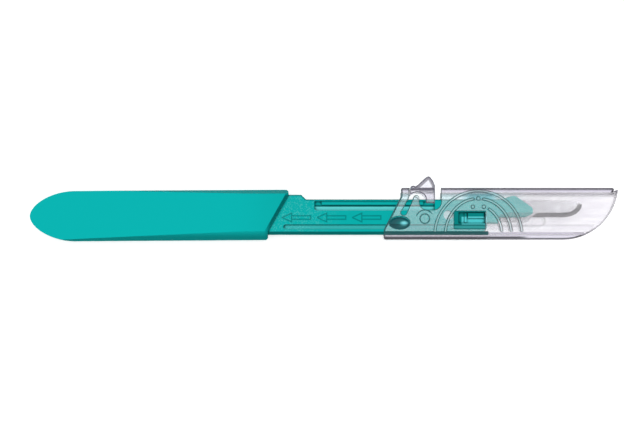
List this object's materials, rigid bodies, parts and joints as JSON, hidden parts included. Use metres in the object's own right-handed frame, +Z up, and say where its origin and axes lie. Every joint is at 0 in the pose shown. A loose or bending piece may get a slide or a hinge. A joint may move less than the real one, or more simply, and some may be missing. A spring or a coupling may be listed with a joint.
{
  "type": "disposable scalpel",
  "caption": "Disposable scalpel with a flat tongue-shaped plastic grip, a slim stem and a small curved blade under a clear sliding shield with a thumb release lever.",
  "frame": {"origin": "centre of the bounding box on the floor that the scalpel lies on", "axes": "+X along the handle from the grip's round end to the blade, +Y across it towards the blade's spine and the thumb lever, +Z up, through the flat sides"},
  "size_m": [0.1762, 0.0194, 0.0084],
  "materials": {
    "teal_plastic": "fine moulded grain, glossier near the grip's front",
    "blade_steel": "satin ground, with a darker ground edge bevel",
    "clear_plastic": "clear, glossy, uncoloured"
  },
  "bodies": {
    "handle": {"handle": "teal_plastic", "blade": "blade_steel"},
    "shield": {"blade_shield": "clear_plastic"},
    "lever": {"release_lever": "clear_plastic"}
  },
  "joints": [
    {"name": "shield_slide", "type": "slide", "parent": "handle", "child": "shield", "axis": [-1, 0, 0], "range_m": [0, 0.0326]},
    {"name": "lever_press", "type": "hinge", "parent": "shield", "child": "lever", "pos_m": [0.02589, 0.00432, 0.0042], "axis": [0, 0, -1], "range_deg": [0, 11], "stiffness_Nm_per_rad": 0.12}
  ]
}
